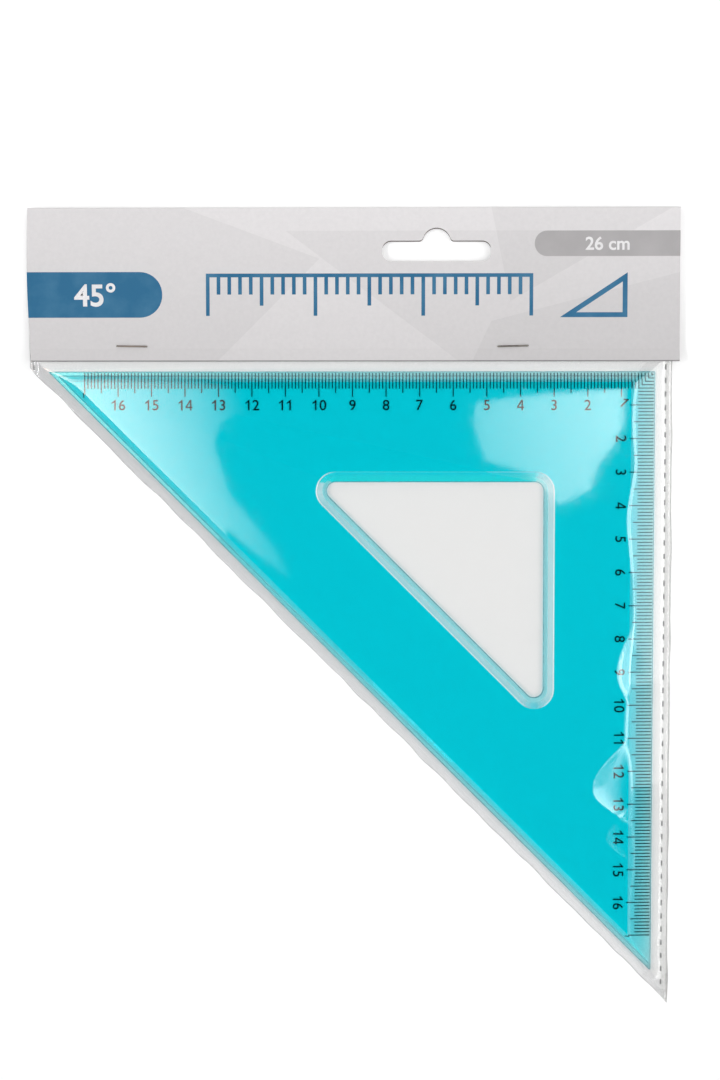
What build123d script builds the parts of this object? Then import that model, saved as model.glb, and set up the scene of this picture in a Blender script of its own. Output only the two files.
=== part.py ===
from build123d import *
import os
from math import sqrt

# A 45 degree set square in its clear film sleeve, under a folded and stapled header card.
# The pieces are laid out from the right-angled corner of the set square at X = Y = 0: +X to the right,
# +Y up towards the card, +Z out of the front. At the end they are moved so that the origin lies under
# the middle of the pack. Sizes are in millimetres.

# Set square: one moulded plate, bevelled on its front face
leg = 181.0  # each leg, from the right angle to the tip
plate_thickness = 2.2
tip_radius = 0.3
ledge_width = 1.4  # thin ledge along the top leg, the hypotenuse and the opening
ledge_slope = 1.7  # width of the slope from the ledge up to the front face
ledge_depth = 1.5  # below the front face
scale_bevel_width = 7.2  # along the right leg, over the side scale
scale_bevel_depth = 1.6
border = 33.0  # from each outer edge to the opening
opening_radius = 2.6

# Printed scales, on the back face of the plate
ink_thickness = 0.02
scale_unit = 1.0
tick_width = 0.28
tick_start = 0.45  # from the edge of the plate to the near end of a tick
unit_tick = 5.1  # from the edge to the far end of a tick
five_tick = 6.4
ten_tick = 7.5
corner_ticks = 5  # ticks of the two scales that meet on the diagonal
scale_end_gap = 11.0  # from the last tick to the tip

# Film sleeve: one sheet folded along the hypotenuse and welded at both sides
film_thickness = 0.1
slip = 0.05  # between the film and each face of the plate
travel = 1.5  # how far the plate can shift up or down in the sleeve
shift_room = 0.2  # from the plate at the end of its travel to the slope of the film
side_room = 0.6  # beside the right leg
tip_room = 1.5  # beside the left tip
fold_slope = 1.4  # width of the film's slope at the fold
fold_crease = 0.4  # flat strip at the fold
right_weld_gap = 3.0  # from the right leg to the weld
right_flange = 2.0  # film outside the weld
left_weld_gap = 4.0  # from the left tip to the weld
left_flange = 1.3
lip_height = 7.5  # film above the staples, inside the card

# Weld dashes
weld_width = 0.5
weld_height = 0.04
weld_dash = 1.6
weld_pitch = 4.03
weld_end_gap = 0.8  # from the lip to the first dash

# Header card
card_thickness = 0.25
card_height = 45.5
card_gap = 3.0  # from the top leg to the bottom edge of the card
card_left_overhang = 0.2  # past the sleeve
card_right_overhang = 2.0
card_slack = 0.01  # between the card and the welds

# Hanging slot: a wide slot with an arch over its middle
slot_length = 32.2
slot_height = 6.0
slot_radius = 2.6
slot_drop = 12.9  # from the fold of the card to the middle of the slot
slot_inset = 72.0  # from the right edge of the card to the middle of the slot
arch_radius = 4.2
arch_rise = 3.8  # above the slot
arch_fillet = 1.2

# Staples
wire_width = 0.5  # along the card
wire_thickness = 0.4  # out of the card
wire_chamfer = 0.1
crown_width = 9.2
clinch_gap = 1.6  # between the ends of the clinched legs
wire_bend = 0.25  # radius of a bend at the middle of the wire
wire_seat = 0.01  # between the wire and the card
pierce_gap = 0.03  # round each leg, in the card and the film
staple_height = 4.5  # above the bottom edge of the card
staple_clamp = 0.9  # from the staples down to where the film opens
left_staple_inset = 30.8  # from the left edge of the card
left_staple_tilt = -1.0  # degrees
right_staple_inset = 49.3  # from the right edge of the card
right_staple_tilt = 1.5  # degrees

# Levels
plate_back = film_thickness + slip
plate_front = plate_back + plate_thickness
weld_plane = plate_back + plate_thickness / 2
pocket_front = plate_front + slip
pocket_rise = pocket_front - weld_plane

# Film: edges of its flat middle, of its slopes and of the whole sheet
flat_top = travel + shift_room
flat_fold = travel / sqrt(2) + shift_room
foot_fold = flat_fold + fold_slope
sleeve_fold = foot_fold + fold_crease
right_weld_x = right_weld_gap
left_weld_x = -leg - left_weld_gap
sleeve_right = right_weld_x + right_flange
sleeve_left = left_weld_x - left_flange

# Card: its edges, and the two faces of a panel above the weld plane
card_right = sleeve_right + card_right_overhang
card_left = sleeve_left - card_left_overhang
card_bottom = card_gap
card_top = card_bottom + card_height
staple_y = card_bottom + staple_height
clamp_y = staple_y - staple_clamp
lip_y = staple_y + lip_height
card_inner = film_thickness + weld_height + card_slack
card_outer = card_inner + card_thickness
card_flare = pocket_rise * (clamp_y - card_bottom) / (clamp_y - flat_top)

# Staple wire, measured from the middle of the staple on the weld plane
leg_reach = (crown_width - wire_thickness) / 2
wire_level = card_outer + wire_seat + wire_thickness / 2
left_staple_x = card_left + left_staple_inset
right_staple_x = card_right - right_staple_inset
staple_places = {
    "left_staple": Location((left_staple_x, staple_y, weld_plane), (0, 0, left_staple_tilt)),
    "right_staple": Location((right_staple_x, staple_y, weld_plane), (0, 0, right_staple_tilt)),
}


def plate_outline(outside):
    """Right triangle whose three edges lie this far outside the plate's."""
    reach = -leg - outside * (1 + sqrt(2))
    return Polygon((outside, outside), (reach, outside), (outside, reach))


def rounded(outline, radius):
    return fillet(outline.vertices(), radius)


def edge_cutter(start, end, ledge, slope, depth):
    """Cutter over one outer edge, which runs from start to end with the plate on its left.

    It leaves a ledge along the edge, and a slope from there up to the front face.
    """
    along = (end - start).normalized()
    inward = Vector(0, 0, 1).cross(along)
    section = Plane(origin=start - along * leg, x_dir=inward, z_dir=along)
    foot = plate_front - depth
    above = plate_front + depth
    profile = Polygon((-slope, foot), (ledge, foot), (ledge + 2 * slope, above), (-slope, above))
    return extrude(section * profile, (end - start).length + 2 * leg, dir=along)


def make_set_square():
    outline = rounded(plate_outline(0), tip_radius)
    plate = extrude(Pos(Z=plate_back) * outline, plate_thickness)
    corner, left_tip, low_tip = Vector(0, 0), Vector(-leg, 0), Vector(0, -leg)
    plate -= edge_cutter(corner, left_tip, ledge_width, ledge_slope, ledge_depth)
    plate -= edge_cutter(left_tip, low_tip, ledge_width, ledge_slope, ledge_depth)
    plate -= edge_cutter(low_tip, corner, 0, scale_bevel_width, scale_bevel_depth)
    plate -= extrude(Pos(Z=plate_back) * opening_outline(0), plate_thickness)
    ledge = Pos(Z=plate_front - ledge_depth) * opening_outline(ledge_width)
    rim = Pos(Z=plate_front) * opening_outline(ledge_width + ledge_slope)
    return plate - loft([ledge, rim], ruled=True)


def opening_outline(outside):
    """Outline that lies this far outside the opening."""
    return rounded(plate_outline(outside - border), opening_radius + outside)


def tick_reach(mark):
    """How far from the edge a tick ends. The first ticks end on the diagonal of the corner."""
    if mark <= corner_ticks:
        return mark * scale_unit
    if mark % 10 == 0:
        return ten_tick
    if mark % 5 == 0:
        return five_tick
    return unit_tick


def scale_ticks(corner_extra):
    """Yields where each tick stands along the leg, how far in its middle is, and its length."""
    last = int((leg - scale_end_gap) / scale_unit)
    for mark in range(1, last + 1):
        far = tick_reach(mark)
        if mark <= corner_ticks:
            far += corner_extra
        yield mark * scale_unit, (tick_start + far) / 2, far - tick_start


def make_top_scale():
    level = plate_back - ink_thickness / 2
    ticks = []
    for along, inward, length in scale_ticks(tick_width / 2):
        ticks.append(Pos(-along, -inward, level) * Box(tick_width, length, ink_thickness))
    return group(ticks)


def make_side_scale():
    level = plate_back - ink_thickness / 2
    ticks = []
    for along, inward, length in scale_ticks(-tick_width / 2):
        ticks.append(Pos(-inward, -along, level) * Box(length, tick_width, ink_thickness))
    return group(ticks)


def group(pieces):
    """Separate solids in one node."""
    return Compound([piece.solid() for piece in pieces])


def slant(x, outside):
    """Height of the line that lies this far outside the hypotenuse."""
    return -leg - outside * sqrt(2) - x


def sleeve_outline(right, top, left, fold):
    """Outline of the sleeve's kind, with its slanted side this far outside the hypotenuse."""
    return Polygon((right, top), (left, top), (left, slant(left, fold)), (right, slant(right, fold)))


def pierced(sheet):
    """Cuts the holes that the legs of both staples make."""
    hole = Box(wire_thickness + 2 * pierce_gap, wire_width + 2 * pierce_gap, 2 * wire_level)
    for place in staple_places.values():
        for side in (-leg_reach, leg_reach):
            sheet -= place * Pos(X=side) * hole
    return sheet


def make_front_film():
    """Flat over the plate, then sloping down on every side to the weld plane."""
    sheet = sleeve_outline(sleeve_right, lip_y, sleeve_left, sleeve_fold)
    half_weld = weld_width / 2
    foot = sleeve_outline(right_weld_x - half_weld, clamp_y, left_weld_x + half_weld, foot_fold)
    flat = sleeve_outline(side_room, flat_top, -leg - tip_room, flat_fold)
    pocket = loft([Pos(Z=weld_plane) * foot, Pos(Z=pocket_front) * flat], ruled=True)
    film = extrude(Pos(Z=weld_plane) * sheet, film_thickness, dir=(0, 0, 1))
    film += Pos(Z=film_thickness) * pocket
    return pierced(film - pocket)


def make_weld(x):
    """Row of dashes from the lip down to the fold, standing on the front film."""
    level = weld_plane + film_thickness + weld_height / 2
    lowest = slant(x, foot_fold) + weld_dash / 2
    y = lip_y - weld_end_gap - weld_dash / 2
    dashes = []
    while y > lowest:
        dashes.append(Pos(x, y, level) * Box(weld_width, weld_dash, weld_height))
        y -= weld_pitch
    return group(dashes)


def hang_slot():
    slot = RectangleRounded(slot_length, slot_height, slot_radius)
    slot += Pos(Y=slot_height / 2 + arch_rise - arch_radius) * Circle(arch_radius)
    shoulders = slot.vertices().filter_by(lambda v: abs(v.X) < arch_radius)
    return fillet(shoulders, arch_fillet)


def make_header_card():
    """Both panels in one folded sheet, pinched at the staples and flared over the sleeve below them."""
    turn = card_top - card_outer
    inner = Polyline((card_bottom, card_inner + card_flare), (clamp_y, card_inner), (turn, card_inner))
    inner += ThreePointArc((turn, card_inner), (turn + card_inner, 0), (turn, -card_inner))
    inner += mirror(inner.edges()[:2], Plane.XZ)
    outer = Polyline((card_bottom, card_outer + card_flare), (clamp_y, card_outer), (turn, card_outer))
    outer += ThreePointArc((turn, card_outer), (card_top, 0), (turn, -card_outer))
    outer += mirror(outer.edges()[:2], Plane.XZ)
    front_edge = Line((card_bottom, card_inner + card_flare), (card_bottom, card_outer + card_flare))
    section = make_face(inner + outer + front_edge + mirror(front_edge, Plane.XZ))
    section = Plane.YZ.offset(card_left) * Pos(Y=weld_plane) * section
    card = extrude(section, card_right - card_left, dir=(1, 0, 0))
    slot_place = Pos(card_right - slot_inset, card_top - slot_drop, weld_plane)
    card -= extrude(slot_place * hang_slot(), 2 * card_outer, both=True)
    return pierced(card)


def make_staple():
    """Crown in front, two legs through the layers, clinched towards each other behind."""
    clinch_end = clinch_gap / 2
    points = [
        (-clinch_end, -wire_level),
        (-leg_reach, -wire_level),
        (-leg_reach, wire_level),
        (leg_reach, wire_level),
        (leg_reach, -wire_level),
        (clinch_end, -wire_level),
    ]
    path = Plane.XZ * FilletPolyline(*points, radius=wire_bend)
    wire = chamfer(Rectangle(wire_width, wire_thickness).vertices(), wire_chamfer)
    return sweep(Plane(origin=path @ 0, x_dir=(0, 1, 0), z_dir=path % 0) * wire, path)


front_film = make_front_film()
staple = make_staple()
nodes = {
    "set_square": make_set_square(),
    "top_scale_ticks": make_top_scale(),
    "side_scale_ticks": make_side_scale(),
    "sleeve_front_film": front_film,
    "sleeve_back_film": mirror(front_film, Plane.XY.offset(weld_plane)),
    "sleeve_right_weld": make_weld(right_weld_x),
    "sleeve_left_weld": make_weld(left_weld_x),
    "header_card": make_header_card(),
}
for name, place in staple_places.items():
    nodes[name] = place * staple

# The origin: under the middle of the pack, on the plane that it lies on
middle_x = (card_left + card_right) / 2
middle_y = (card_top + slant(sleeve_right, sleeve_fold)) / 2
lowest = min(0, weld_plane - card_outer - card_flare)
os.makedirs("parts", exist_ok=True)
for name, shape in nodes.items():
    export_step(Pos(-middle_x, -middle_y, -lowest) * shape, f"parts/{name}.step")
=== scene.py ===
"""Looks of a see-through 45 degree set square in its film sleeve, under a stapled header card."""
from math import pi, radians, sin, sqrt

import bmesh
import bpy
from mathutils import Matrix, Vector, noise


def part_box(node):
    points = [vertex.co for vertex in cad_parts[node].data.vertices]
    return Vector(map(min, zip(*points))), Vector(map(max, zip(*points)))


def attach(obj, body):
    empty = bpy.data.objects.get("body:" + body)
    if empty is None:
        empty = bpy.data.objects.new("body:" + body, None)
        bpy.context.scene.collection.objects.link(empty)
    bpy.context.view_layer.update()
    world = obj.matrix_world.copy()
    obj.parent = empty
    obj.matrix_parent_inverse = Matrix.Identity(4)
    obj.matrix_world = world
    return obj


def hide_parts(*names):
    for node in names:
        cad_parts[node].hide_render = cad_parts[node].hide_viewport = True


MM = 0.001

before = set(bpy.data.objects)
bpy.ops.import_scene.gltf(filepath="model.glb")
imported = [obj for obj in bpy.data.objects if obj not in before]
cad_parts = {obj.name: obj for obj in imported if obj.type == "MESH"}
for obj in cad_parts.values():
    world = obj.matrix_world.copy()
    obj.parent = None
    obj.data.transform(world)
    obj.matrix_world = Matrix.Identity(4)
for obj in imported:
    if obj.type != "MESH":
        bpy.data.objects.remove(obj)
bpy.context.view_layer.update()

# Places read from the frame
plate_low, plate_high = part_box("set_square")
film_low, film_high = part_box("sleeve_front_film")
card_low, card_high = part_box("header_card")
right_weld_low, right_weld_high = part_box("sleeve_right_weld")
left_weld_low, left_weld_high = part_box("sleeve_left_weld")
ticks_low, ticks_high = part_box("top_scale_ticks")
corner = Vector((plate_high.x, plate_high.y))
weld_plane = film_low.z
right_weld = (right_weld_low.x + right_weld_high.x) / 2
left_weld = (left_weld_low.x + left_weld_high.x) / 2
fold_line = film_high.x + film_low.y  # x + y along the fold
hypotenuse_line = plate_low.x + plate_high.y  # x + y along the hypotenuse

# Camera, fitted to the corners of the plate, the sleeve and the card
CAMERA_PLACE = Vector((16.51, 71.05, 700.0)) * MM
CAMERA_TURN = (radians(-4.127), radians(1.189), radians(-0.044))
CAMERA_LENS = 78.09
SENSOR = 36.0
NEAREST = 0.01  # that the camera sees
CLEAR_LAYERS = 32  # that a line of sight may pass

# Meshes
MERGE = 0.001 * MM  # vertices nearer than this are one
CUT_SNAP = 0.0001 * MM  # vertices nearer than this to a cut are on it
SAME_FACE = radians(0.5)  # faces that turn less than this are one
# How far up, or to a side, the normals of faces look
FLAT = 0.999
UPWARD = 0.9
SIDEWAYS = 0.6
TILTED = 0.3
UPRIGHT = 0.05
SLOPE_LOW, SLOPE_HIGH = 0.7, 0.8  # of the slopes beside the ledges

# Film sleeve
FILM_THICKNESS = 0.1 * MM
FRONT_CELL = 0.75 * MM
BACK_CELL = 1.2 * MM
POCKET_RISE = 1.15 * MM  # from the weld plane to the film over each face of the plate
FRONT_CLEARANCE = 0.05 * MM
CLAMP_ABOVE_PLATE = 6.6 * MM  # where the card starts to pinch the film
# How far the film slopes down to each side, and how softly it turns over there
FRONT_SIDES = {
    "right": (8.8 * MM, 0.13 * MM),
    "fold": (5.2 * MM, 0.6 * MM),
    "top": (7.0 * MM, 0.6 * MM),
    "left": (2.5 * MM, 0.13 * MM),
}
BACK_SIDES = {
    "right": (2.15 * MM, 0.13 * MM),
    "fold": (2.4 * MM, 0.13 * MM),
    "top": (4.9 * MM, 0.13 * MM),
    "left": (2.25 * MM, 0.13 * MM),
}
WAVE_LENGTH = 46 * MM
WAVE_RISE = 0.05 * MM
RIPPLE_LENGTH = 15 * MM
RIPPLE_RISE = 0.008 * MM
CREASE_WANDER = 2.8 * MM  # of the line by the right leg where the film turns down
CREASE_WAVE = 22 * MM
LOBE_FOOT = 6.4 * MM  # from the right edge to where the lobes start to rise
LOBE_LEE = 3.0 * MM  # how far beyond its crest a lobe ends
LOBE_TAPER = 1.5  # how steeply a lobe dies out above and below its crest
# Loose lobes by the right leg: crest below the top edge, length above and below it,
# how far in from the right edge the crest lies, and its rise
LOBES = (
    (90 * MM, 15 * MM, 11 * MM, 11.2 * MM, 0.22 * MM),
    (125 * MM, 17 * MM, 12 * MM, 18.6 * MM, 0.42 * MM),
    (140 * MM, 10 * MM, 8 * MM, 14.4 * MM, 0.2 * MM),
)
FOLD_ROUND = 0.35 * MM  # radius of the folded edge
# Lines along the fold where the sheet is cut finer, in from the fold
FOLD_CUTS = (0.06 * MM, 0.15 * MM, 0.25 * MM, 0.35 * MM, 0.6 * MM, 1.5 * MM, 1.95 * MM)
CUT_EDGE = 0.3 * MM  # strip at the cut right edge that is bent down
CUT_DROP = 0.08 * MM
ON_WELD = 0.01 * MM  # nearer than this to the weld's line is on it
EDGE_DEPTH = 4 * MM  # how far in the free edges waver
EDGE_WAVER = 0.45 * MM
EDGE_WAVE = 12 * MM
FLANGE_WAVE = 0.012 * MM  # of the strip outside the right weld
TIP_REACH = 20 * MM  # from the bottom tip, where the film is crumpled
TIP_CRUMPLE = 0.9 * MM  # its height
TIP_CREASE = 4 * MM  # length of its waves

# Scales
FIGURE_HEIGHT = 3.1 * MM
FIGURE_BOLD = 0.004  # of the font's size
FIGURE_ADVANCE = 2.35 * MM
# Figures that are drawn here, in heights of a figure from its middle
DRAWN_FIGURES = {
    "1": (
        (
            (0.0, -0.5), (0.14, -0.5), (0.14, 0.5), (0.05, 0.5),
            (-0.08, 0.35), (-0.24, 0.25), (-0.24, 0.12), (0.0, 0.26),
        ),
    ),
    "4": (
        (
            (0.1, -0.5), (0.23, -0.5), (0.23, -0.28), (0.34, -0.28), (0.34, -0.16), (0.23, -0.16),
            (0.23, 0.5), (0.08, 0.5), (-0.32, -0.16), (-0.32, -0.28), (0.1, -0.28),
        ),
        ((0.1, -0.16), (0.1, 0.3), (-0.18, -0.16)),
    ),
}
FIGURE_INSET = 10.0 * MM  # from the edge to the middle of a figure
CENTIMETRE = 10 * MM
LAST_FIGURE = 16
SHARED_FIGURE = 9.2 * MM  # from both edges to the figure that both scales share

# Card
CARD_CUT = 4 * MM  # width of the strips that let it bow
CARD_WAVE = 0.22 * MM
CARD_WAVE_LENGTH = 70 * MM
CARD_HELD = 12 * MM  # from the bottom edge, over which the bow sets in
STRAY_DEPTH = 40 * MM  # from the left edge, over which the card's left side strays
STRAY_IN = 0.8 * MM
STRAY_OUT = 0.5 * MM
SLOT_BURR = 0.3 * MM  # how far the upper cut of the slot leans out below
CARD_FRONT = 0.40 * MM  # from the weld plane to the printed face
CARD_CRISP = (radians(25), 50 * MM * MM)  # turn of an edge, and area of a face, that stay crisp

# Print on the card, from its left and bottom edges
PRINT_THICKNESS = 0.012 * MM
ANGLE_TAB = (0.0 * MM, 13.0 * MM, 40.0 * MM, 26.5 * MM)  # left, bottom, right, top
ANGLE_FIGURE = 7.0 * MM
SIZE_TAB = (150.5 * MM, 31.0 * MM, 193.5 * MM, 38.5 * MM)
SIZE_FIGURE = 4.0 * MM
CARD_BOLD = 0.02  # of the font's size
TAB_ROUND = 0.49  # of the tab's height
TAB_SEGMENTS = 10
RULE_START = 53.0 * MM
RULE_TOP = 26.0 * MM
RULE_STROKE = 1.1 * MM
RULE_PITCH = 3.2 * MM
RULE_TICKS = 31
RULE_REACH = {0: 12.5 * MM, 5: 9.5 * MM}  # every tenth and fifth tick
RULE_SHORT = 6.2 * MM
SIGN_LEG = 20.0 * MM  # the small triangle
SIGN_RISE = 13.2 * MM
SIGN_STROKE = 1.452 * MM
SIGN_CORNER = (178.0 * MM, 13.0 * MM)

# Set square
TEAL = (0.0, 0.8988, 0.9563, 1)
TEAL_DENSITY = 600.0  # to the metre
PLASTIC_IOR = 1.49
PLASTIC_RELIEF = 0.004 * MM
FACE_TINT = (0.0001, 1, 1, 1)  # of the front face of the plate, over the colour of its body
# Painted shade: the dark lines along the plate's edges, and the fainter ones where an outer ledge meets
# its slope, are a tint on their rounded faces
EDGE_PAINTED_SHADE = (0.1, 0.3, 0.36, 1)  # of the lines along the edges of the plate
INNER_PAINTED_SHADE = 0.7  # of that tint where a ledge meets its slope
EDGE_ROUND = 0.2 * MM
ROUNDED_FROM = radians(14)  # edges that turn less than this stay as they are
LINE_ROUND = 0.27 * MM  # of the edges that show as dark lines
# Painted highlight: the opening's slopes and the crest above them are made milky white, more where they
# lean sideways towards the lamp at the left; the ledges' faint satin is partly a finish and partly
# painted light
SLOPE_PAINTED_SHEEN = 0.5  # of the slope at the right side of the opening
CREST_PAINTED_HIGHLIGHT = 0.95  # of the line where that slope meets the front face
CREST_ROUND = 0.2 * MM
LEDGE_SATIN_AND_SHEEN = 0.03
RIM_SIDE = 20 * MM * MM  # slopes of the opening that are larger than this are its straight sides
# Painted shade: the top of the opening gets the front face's deep tint, so that it reads darker than the
# rest of the rim
TOP_RIM_PAINTED_SHADE = 0.95  # of the front face's tint at the top of the opening
TOP_RIM_BELOW = 1.6 * MM  # how far below the slope there that tint goes
TOP_RIM_SHORT = 3.5 * MM  # how far short of the slope at the right it ends
HYPOTENUSE_TINT = 0.7  # of the front face's tint on the slope along the hypotenuse
OUTER_REACH = 4 * MM  # from an outer edge, to the end of its slope
FRONT_DEPTH = 0.1 * MM  # of the rounds that belong to the front face
PLATE_CRISP = (radians(30), 4 * MM * MM)
WALL_SHADE = (0.2, 0.3, 0.32, 1)  # of lamp light through the upright walls of the plate
WALL_TURN = (0.2, 0.5)  # how far up a face looks that is no wall any more

# Colours and finishes of the rest
FILM_CLEAR = (0.975, 0.975, 0.973, 1)
FILM_HAZE = (0.95, 0.95, 0.947, 1)  # outside the weld
WELD_BLUR = 0.3 * MM
FILM_RIM = (0.88, 0.88, 0.877, 1)  # beside the cut right edge
RIM_WIDTH = 0.6 * MM
# Partly the film's haze, partly painted shade of the plate: the flap between the plate and the fold is
# darker, most at the upper left
FLAP_UPPER_HAZE_AND_SHADE = (0.91, 0.91, 0.912, 1)  # between the plate and the fold, at the left
FLAP_LOWER_HAZE_AND_SHADE = (0.96, 0.96, 0.962, 1)
FLAP_BLUR = 0.6 * MM
# Painted shade: some facets of the crumpled tip are made darker, as if turned from the light
TIP_PAINTED_FACET_SHADE = 0.05  # how much darker some facets of the crumpled tip are
TIP_CORE = 0.3 * TIP_REACH  # where they are darkest
FILM_EDGE = (0.6, 0.6, 0.6, 1)
FILM_EDGE_POWER = 1.5
FILM_RELIEF = 0.004 * MM
FRONT_GLOSS = 0.055
BACK_GLOSS = 0.02
GRAZING_GLOSS = 0.6
GRAZING_POWER = 5.0
INK_TONE = (0.006, 0.022)
WELD_TONE = (0.19, 0.34)
WELD_RELIEF = 0.02 * MM
PRINT_BLUE = (0.023, 0.147, 0.287, 1)
PRINT_BLUE_WORN = (0.055, 0.20, 0.345, 1)
PRINT_GREY = (0.43, 0.415, 0.42, 1)
PRINT_GREY_WORN = (0.47, 0.455, 0.46, 1)
PRINT_WHITE = (0.86, 0.85, 0.86, 1)
PRINT_PATCHES = (0.42, 0.75)  # of the noise, where the print is worn
PRINT_RELIEF = 0.02 * MM
CARD_WHITE = (0.757, 0.737, 0.744, 1)
CARD_SHADE = (0.727, 0.708, 0.715, 1)
CARD_RELIEF = 0.03 * MM
CARD_TONE = 0.06  # how much darker its faint tones are
CARD_FADE = (0.93, 1.1)  # how bright the card is at its bottom edge and at its fold
# Painted shadow: a dark line along the card's cut bottom edge, where it stands off the film
CARD_EDGE_PAINTED_SHADOW = 0.3  # of the cut bottom edge
CARD_EDGE_SHADOW_REACH = (0.15 * MM, 0.4 * MM)  # above that edge, where its tone starts to go and is gone
# Painted shade: the upper cut of the slot is dark, as the shade under its edge
SLOT_PAINTED_SHADE = (0.1, 0.085, 0.075, 1)  # of the upper cut of the slot
# Faint tones of the card, each bounded by lines: an inward normal and how far along it the line lies
CARD_FACETS = (
    (((0.6, 0.8, 0), 0.078), ((0, -1, 0), -0.1125)),
    (((-0.7, 0.7, 0), 0.080), ((-0.35, -0.94, 0), -0.0945)),
    (((0.9, -0.43, 0), 0.0), ((0.25, -0.97, 0), -0.073)),
    (((-0.5, 0.87, 0), 0.0565), ((0.98, 0.2, 0), 0.064)),
)
FRONT_TURN = (0.4, 0.6)  # how far up a face looks that has these tones
STEEL = (0.24, 0.23, 0.21, 1)
STEEL_RELIEF = 0.01 * MM

# Studio
FLOOR_WHITE = (0.9, 0.9, 0.9, 1)
FLOOR_HALF = 4.0
FLOOR_DROP = 0.1 * MM
FLOOR_LIFT = 0.16  # its own glow
# Painted light: the floor glows more beyond the card's bottom edge, to fade the card's shadow in its
# slot
FLOOR_PAINTED_LIGHT_ABOVE = 0.3  # beyond the card's bottom edge
FLOOR_TURN = 25 * MM  # over which the one glow turns into the other
SKY_LEVELS = (1.0, 0.01)  # of the sky round the pack, and of the dark part overhead
SKY_TURN = (0.7, 0.88)  # how far up the one turns into the other
# Lamps: place, aim, size and brightness
LAMPS = {
    "left_key": ((-0.765, -0.1, 0.75), (0, 0, 0), (0.12, 0.7), 11.0),
    "right_fill": ((0.9, 0.1, 0.7), (0, 0, 0), (0.6, 0.6), 2.8),
    "low_left_fill": ((-0.79, -0.9, 0.75), (0, 0, 0), (0.35, 0.35), 3.0),
    "right_strip": ((0.375, -0.005, 0.8), (0.086, 0.03, 0), (0.19, 0.25), 2.2),
    "right_strip_low": ((0.375, -0.165, 0.8), (0.086, -0.03, 0), (0.19, 0.07), 1.1),
    "crease_strip": ((0.245, -0.01, 0.8), (0.086, -0.02, 0), (0.09, 0.24), 4.5),
    "top_strip": ((-0.05, 0.25, 0.75), (0, 0.07, 0), (0.6, 0.22), 1.0),
}
# Panels that fade to their rims: place, size and brightness
SOFT_PANELS = {
    "lobe_glow": ((0.24, -0.165, 0.8), (0.13, 0.22), 6.0),
    "low_crease_glow": ((0.245, -0.3, 0.8), (0.11, 0.2), 1.2),
}
# Lamp panels over the camera, drawn as the zones of flat film that show them. Corners are
# in from the right edge and down from the top edge of the plate, in millimetres.
PANEL_HEIGHT = 720 * MM
PANEL_WARMTH = (1.0, 0.74, 0.64, 1)
LEFT_PANEL = (
    (80, -34), (80, -3), (92, 3), (119, 8.5), (129.5, 15.5), (131, 21), (127, 36), (113, 53),
    (108.5, 62), (121, 52.5), (127, 47), (137, 57), (228, -34),
)
GLOW_SLANT = 0.31  # of the way down, added to the way in
LEFT_GLOW = ((126, 0.0), (190, 6.2))  # the way in from the right edge, and how bright there
RIGHT_PANEL = (
    (53, 9), (40, 7.2), (9.3, 5.2), (9.3, 15.5), (12, 21.5), (17, 28), (18.7, 35), (28.5, 39.5),
    (38, 30), (50, 26.5), (53.7, 15.5),
)
RIGHT_GLOW = ((56, 1.5), (14, 3.5))


def add(tree, kind, sockets=None, **settings):
    """Adds a shader node. A socket is set to a value, or linked to another node's output."""
    made = tree.nodes.new("ShaderNode" + kind)
    for name, value in settings.items():
        setattr(made, name, value)
    for name, value in (sockets or {}).items():
        if isinstance(value, bpy.types.NodeSocket):
            tree.links.new(value, made.inputs[name])
        else:
            made.inputs[name].default_value = value
    return made


def finish_shader(tree, shader, inside=None):
    output = add(tree, "OutputMaterial", {"Surface": shader.outputs[0]})
    if inside:
        tree.links.new(inside.outputs[0], output.inputs["Volume"])


def blank_material(name):
    material = bpy.data.materials.new(name)
    material.use_nodes = True
    material.node_tree.nodes.clear()
    return material


def attribute(tree, name):
    return add(tree, "Attribute", attribute_name=name).outputs["Fac"]


def object_place(tree):
    return add(tree, "TexCoord").outputs["Object"]


def part_of(tree, vector, axis):
    return add(tree, "SeparateXYZ", {"Vector": vector}).outputs[axis]


def looks_up(tree):
    """How far up a face looks."""
    return part_of(tree, add(tree, "NewGeometry").outputs["Normal"], "Z")


def work_out(tree, operation, first, second=0.0):
    return add(tree, "Math", {0: first, 1: second}, operation=operation).outputs[0]


def reach_along(tree, place, direction):
    """How far a place lies along a direction."""
    return add(tree, "VectorMath", {0: place, 1: direction}, operation="DOT_PRODUCT").outputs["Value"]


def dimmed(tree, colour, factor):
    return add(tree, "VectorMath", {0: colour, "Scale": factor}, operation="SCALE").outputs[0]


def two_tone(tree, factor, first, second):
    return add(tree, "Mix", {0: factor, 6: first, 7: second}, data_type="RGBA").outputs[2]


def grey(tree, tone):
    return add(tree, "CombineColor", {0: tone, 1: tone, 2: tone}).outputs[0]


def place_noise(tree, scale, detail, stretch=(1, 1, 1)):
    """Noise on Object coordinates, with this many waves to the metre."""
    mapped = add(tree, "Mapping", {"Vector": object_place(tree), "Scale": stretch}).outputs["Vector"]
    return add(tree, "TexNoise", {"Vector": mapped, "Scale": scale, "Detail": detail}).outputs["Fac"]


def between(tree, value, low, high, from_low=0.3, from_high=0.7):
    """Turns a range of a value, at first that of most noise, into another."""
    sockets = {
        "Value": value,
        "From Min": from_low,
        "From Max": from_high,
        "To Min": low,
        "To Max": high,
    }
    return add(tree, "MapRange", sockets).outputs["Result"]


def relief(tree, height, depth):
    return add(tree, "Bump", {"Height": height, "Distance": depth, "Strength": 1.0}).outputs["Normal"]


def lamps_through(tree, shader, window):
    """Lets the light of the lamps straight through a clear shader."""
    path = add(tree, "LightPath").outputs
    lamp_light = work_out(tree, "MAXIMUM", path["Is Shadow Ray"], path["Is Diffuse Ray"])
    return add(tree, "MixShader", {0: lamp_light, 1: shader.outputs[0], 2: window.outputs[0]})


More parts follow.
